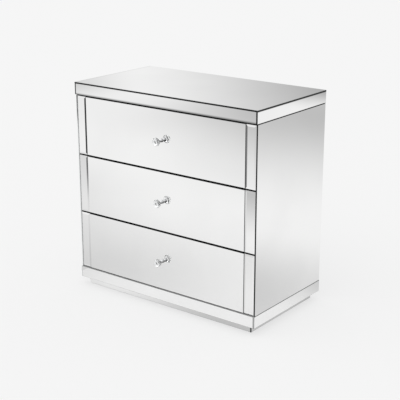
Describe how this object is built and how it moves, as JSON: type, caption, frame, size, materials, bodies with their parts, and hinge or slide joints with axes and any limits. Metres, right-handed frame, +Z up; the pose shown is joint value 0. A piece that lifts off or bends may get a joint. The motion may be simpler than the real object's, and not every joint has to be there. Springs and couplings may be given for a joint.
{
  "type": "mirrored chest of drawers",
  "caption": "Straight mirrored chest of drawers with bevelled glass strips, crystal knobs and drawers on telescopic ball runners.",
  "frame": {"origin": "on the floor, under the middle of the whole footprint with the knobs included", "axes": "+Z up; the drawer fronts face -Y; +X runs to the right seen from the front"},
  "size_m": [0.85, 0.487, 0.83],
  "materials": {
    "mirror_glass": "silvered float glass, polished",
    "carcass_board": "black satin lacquer on fibreboard",
    "back_board": "black painted hardboard",
    "drawer_board": "dark foil on fibreboard",
    "drawer_lining": "black flock",
    "runner_zinc": "bright zinc plate",
    "cage_steel": "greased sheet steel",
    "knob_chrome": "polished chrome",
    "knob_crystal": "cut and polished crystal",
    "screw_zinc": "zinc plated"
  },
  "bodies": {
    "root": {"back_panel": "back_board", "base_edge_mirror_front": "mirror_glass", "base_edge_mirrors_side": "mirror_glass", "base_rails": "carcass_board", "bottom_panel": "carcass_board", "divider_rails": "carcass_board", "plinth_boards": "carcass_board", "plinth_mirrors": "mirror_glass", "runner_cabinet_members": "runner_zinc", "side_mirror_left": "mirror_glass", "side_mirror_right": "mirror_glass", "side_panel_left": "carcass_board", "side_panel_right": "carcass_board", "top_edge_mirror_front": "mirror_glass", "top_edge_mirrors_side": "mirror_glass", "top_mirror": "mirror_glass", "top_panel": "carcass_board", "top_rails": "carcass_board"},
    "bottom_drawer": {"bottom_drawer_bottom": "drawer_lining", "bottom_drawer_box_back": "drawer_board", "bottom_drawer_box_front": "drawer_board", "bottom_drawer_front_board": "carcass_board", "bottom_drawer_mirror_centre": "mirror_glass", "bottom_drawer_mirror_strips": "mirror_glass", "bottom_drawer_sides": "drawer_board", "bottom_knob_base": "knob_chrome", "bottom_knob_crystal": "knob_crystal", "bottom_knob_screw": "screw_zinc", "bottom_runner_drawer_members": "runner_zinc"},
    "bottom_runner_middle": {"bottom_runner_middle_members": "runner_zinc"},
    "bottom_runner_outer_cage": {"bottom_runner_outer_cages": "cage_steel"},
    "bottom_runner_inner_cage": {"bottom_runner_inner_cages": "cage_steel"},
    "middle_drawer": {"middle_drawer_bottom": "drawer_lining", "middle_drawer_box_back": "drawer_board", "middle_drawer_box_front": "drawer_board", "middle_drawer_front_board": "carcass_board", "middle_drawer_mirror_centre": "mirror_glass", "middle_drawer_mirror_strips": "mirror_glass", "middle_drawer_sides": "drawer_board", "middle_knob_base": "knob_chrome", "middle_knob_crystal": "knob_crystal", "middle_knob_screw": "screw_zinc", "middle_runner_drawer_members": "runner_zinc"},
    "middle_runner_middle": {"middle_runner_middle_members": "runner_zinc"},
    "middle_runner_outer_cage": {"middle_runner_outer_cages": "cage_steel"},
    "middle_runner_inner_cage": {"middle_runner_inner_cages": "cage_steel"},
    "top_drawer": {"top_drawer_bottom": "drawer_lining", "top_drawer_box_back": "drawer_board", "top_drawer_box_front": "drawer_board", "top_drawer_front_board": "carcass_board", "top_drawer_mirror_centre": "mirror_glass", "top_drawer_mirror_strips": "mirror_glass", "top_drawer_sides": "drawer_board", "top_knob_base": "knob_chrome", "top_knob_crystal": "knob_crystal", "top_knob_screw": "screw_zinc", "top_runner_drawer_members": "runner_zinc"},
    "top_runner_middle": {"top_runner_middle_members": "runner_zinc"},
    "top_runner_outer_cage": {"top_runner_outer_cages": "cage_steel"},
    "top_runner_inner_cage": {"top_runner_inner_cages": "cage_steel"}
  },
  "joints": [
    {"name": "bottom_drawer_slide", "type": "slide", "parent": "root", "child": "bottom_drawer", "axis": [0, -1, 0], "range_m": [0, 0.35]},
    {"name": "bottom_runner_outer_cage_slide", "type": "slide", "parent": "root", "child": "bottom_runner_outer_cage", "axis": [0, -1, 0], "range_m": [0, 0.0875]},
    {"name": "bottom_runner_middle_slide", "type": "slide", "parent": "root", "child": "bottom_runner_middle", "axis": [0, -1, 0], "range_m": [0, 0.175]},
    {"name": "bottom_runner_inner_cage_slide", "type": "slide", "parent": "root", "child": "bottom_runner_inner_cage", "axis": [0, -1, 0], "range_m": [0, 0.2625]},
    {"name": "middle_drawer_slide", "type": "slide", "parent": "root", "child": "middle_drawer", "axis": [0, -1, 0], "range_m": [0, 0.35]},
    {"name": "middle_runner_outer_cage_slide", "type": "slide", "parent": "root", "child": "middle_runner_outer_cage", "axis": [0, -1, 0], "range_m": [0, 0.0875]},
    {"name": "middle_runner_middle_slide", "type": "slide", "parent": "root", "child": "middle_runner_middle", "axis": [0, -1, 0], "range_m": [0, 0.175]},
    {"name": "middle_runner_inner_cage_slide", "type": "slide", "parent": "root", "child": "middle_runner_inner_cage", "axis": [0, -1, 0], "range_m": [0, 0.2625]},
    {"name": "top_drawer_slide", "type": "slide", "parent": "root", "child": "top_drawer", "axis": [0, -1, 0], "range_m": [0, 0.35]},
    {"name": "top_runner_outer_cage_slide", "type": "slide", "parent": "root", "child": "top_runner_outer_cage", "axis": [0, -1, 0], "range_m": [0, 0.0875]},
    {"name": "top_runner_middle_slide", "type": "slide", "parent": "root", "child": "top_runner_middle", "axis": [0, -1, 0], "range_m": [0, 0.175]},
    {"name": "top_runner_inner_cage_slide", "type": "slide", "parent": "root", "child": "top_runner_inner_cage", "axis": [0, -1, 0], "range_m": [0, 0.2625]}
  ],
  "couplings": [
    {"joint": "bottom_runner_outer_cage_slide", "follows": "bottom_drawer_slide", "ratio": 0.25},
    {"joint": "bottom_runner_middle_slide", "follows": "bottom_drawer_slide", "ratio": 0.5},
    {"joint": "bottom_runner_inner_cage_slide", "follows": "bottom_drawer_slide", "ratio": 0.75},
    {"joint": "middle_runner_outer_cage_slide", "follows": "middle_drawer_slide", "ratio": 0.25},
    {"joint": "middle_runner_middle_slide", "follows": "middle_drawer_slide", "ratio": 0.5},
    {"joint": "middle_runner_inner_cage_slide", "follows": "middle_drawer_slide", "ratio": 0.75},
    {"joint": "top_runner_outer_cage_slide", "follows": "top_drawer_slide", "ratio": 0.25},
    {"joint": "top_runner_middle_slide", "follows": "top_drawer_slide", "ratio": 0.5},
    {"joint": "top_runner_inner_cage_slide", "follows": "top_drawer_slide", "ratio": 0.75}
  ]
}
